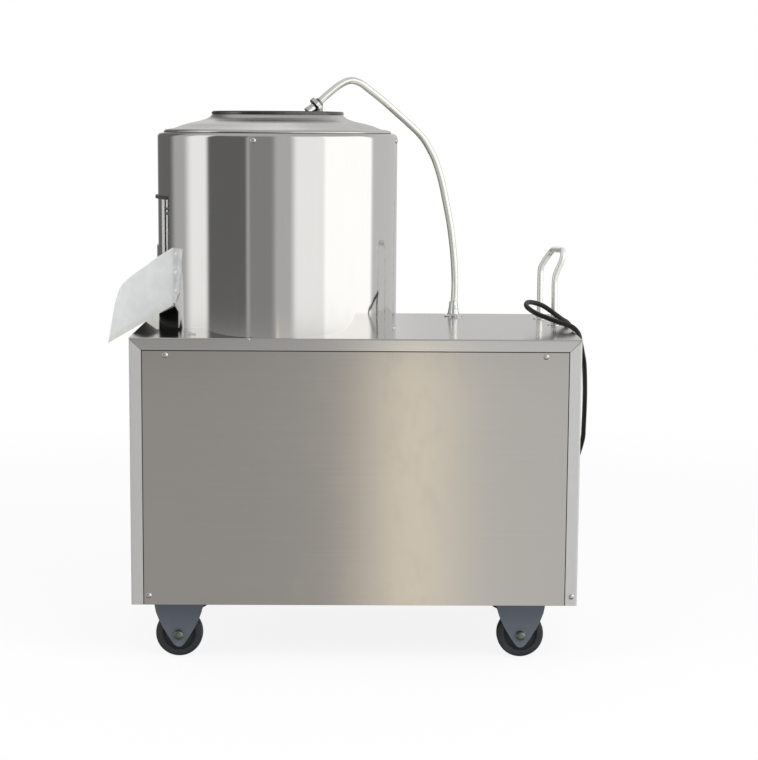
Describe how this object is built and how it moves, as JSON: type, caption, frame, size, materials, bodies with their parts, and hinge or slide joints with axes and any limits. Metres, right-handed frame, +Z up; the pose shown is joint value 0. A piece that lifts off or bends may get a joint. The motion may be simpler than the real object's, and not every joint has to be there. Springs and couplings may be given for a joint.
{
  "type": "electric potato peeler",
  "caption": "Upright abrasive-drum potato peeler with side discharge chute, spray hose and push handle on a wheeled stainless cabinet.",
  "frame": {"origin": "on the floor under the middle of the machine's box, without the free cord", "axes": "+X from the discharge chute to the push handle, +Y from the front to the back, +Z up"},
  "size_m": [0.7869, 0.5456, 0.9249],
  "materials": {
    "stainless_sheet": "brushed",
    "polished_steel": "polished",
    "frame_steel": "satin",
    "caster_steel": "satin grey paint",
    "bolt_steel": "zinc plated",
    "bearing_steel": "ground",
    "cast_iron": "painted grey",
    "motor_paint": "blue-grey enamel",
    "motor_cast": "blue-grey enamel on cast aluminium",
    "aluminium": "cast",
    "abrasive": "coarse emery in resin",
    "black_rubber": "matt",
    "tyre_rubber": "matt",
    "black_plastic": "moulded",
    "grey_plastic": "moulded",
    "hose_plastic": "clear flexible",
    "brass": "turned",
    "green_plastic": "moulded",
    "red_plastic": "moulded"
  },
  "bodies": {
    "cabinet": {"base_frame": "frame_steel", "front_panel": "stainless_sheet", "back_panel": "stainless_sheet", "left_panel": "stainless_sheet", "right_panel": "stainless_sheet", "top_cover": "stainless_sheet", "panel_screws": "bolt_steel", "drum_shell": "polished_steel", "drum_lining": "abrasive", "drum_floor": "stainless_sheet", "lid": "polished_steel", "discharge_chute": "stainless_sheet", "chute_rivets": "bolt_steel", "gate_guides": "stainless_sheet", "bearing_housing": "cast_iron", "upper_bearing": "bearing_steel", "lower_bearing": "bearing_steel", "shaft_seal": "black_rubber", "hex_bolts": "bolt_steel", "drain_pipe": "stainless_sheet", "drain_collar": "grey_plastic", "motor_plate": "frame_steel", "motor_body": "motor_paint", "motor_fan_cover": "motor_paint", "terminal_box": "motor_cast", "capacitor": "aluminium", "v_belt": "black_rubber", "water_inlet": "brass", "water_pipe": "brass", "hose_fitting": "polished_steel", "spray_hose": "hose_plastic", "spray_nozzle": "polished_steel", "nozzle_clip": "stainless_sheet", "push_handle": "polished_steel", "handle_feet": "stainless_sheet", "switch_box": "grey_plastic", "wiring": "black_plastic", "cable_gland": "black_rubber", "power_cord": "black_rubber", "cord_coil": "black_rubber", "plug_body": "black_rubber", "plug_pins": "brass", "caster_forks": "caster_steel", "caster_axles": "bolt_steel"},
    "rotor": {"main_shaft": "frame_steel", "turntable": "aluminium", "abrasive_disc": "abrasive", "shaft_nut": "bolt_steel", "driven_pulley": "cast_iron"},
    "motor_rotor": {"motor_shaft": "frame_steel", "motor_pulley": "cast_iron"},
    "gate": {"discharge_gate": "stainless_sheet", "gate_handle": "stainless_sheet"},
    "start_cap": {"start_button": "green_plastic"},
    "stop_cap": {"stop_button": "red_plastic"},
    "front_left_wheel": {"wheel_front_left": "tyre_rubber"},
    "front_right_wheel": {"wheel_front_right": "tyre_rubber"},
    "back_left_wheel": {"wheel_back_left": "tyre_rubber"},
    "back_right_wheel": {"wheel_back_right": "tyre_rubber"}
  },
  "joints": [
    {"name": "rotor_spin", "type": "hinge", "parent": "cabinet", "child": "rotor", "pos_m": [-0.12375, -0.02725, 0.45], "axis": [0, 0, 1], "continuous": true},
    {"name": "motor_spin", "type": "hinge", "parent": "cabinet", "child": "motor_rotor", "pos_m": [0.15425, -0.00525, 0.25], "axis": [0, 0, 1], "continuous": true},
    {"name": "gate_slide", "type": "slide", "parent": "cabinet", "child": "gate", "axis": [0, 0, 1], "range_m": [0, 0.074]},
    {"name": "start_press", "type": "slide", "parent": "cabinet", "child": "start_cap", "axis": [-1, 0, 0], "range_m": [0, 0.003], "stiffness_N_per_m": 700},
    {"name": "stop_press", "type": "slide", "parent": "cabinet", "child": "stop_cap", "axis": [-1, 0, 0], "range_m": [0, 0.003], "stiffness_N_per_m": 700},
    {"name": "front_left_roll", "type": "hinge", "parent": "cabinet", "child": "front_left_wheel", "pos_m": [-0.27575, -0.16525, 0.0375], "axis": [0, 1, 0], "continuous": true},
    {"name": "front_right_roll", "type": "hinge", "parent": "cabinet", "child": "front_right_wheel", "pos_m": [0.27025, -0.16525, 0.0375], "axis": [0, 1, 0], "continuous": true},
    {"name": "back_left_roll", "type": "hinge", "parent": "cabinet", "child": "back_left_wheel", "pos_m": [-0.27575, 0.12475, 0.0375], "axis": [0, 1, 0], "continuous": true},
    {"name": "back_right_roll", "type": "hinge", "parent": "cabinet", "child": "back_right_wheel", "pos_m": [0.27025, 0.12475, 0.0375], "axis": [0, 1, 0], "continuous": true}
  ],
  "couplings": [
    {"joint": "motor_spin", "follows": "rotor_spin", "ratio": 3.4507}
  ]
}
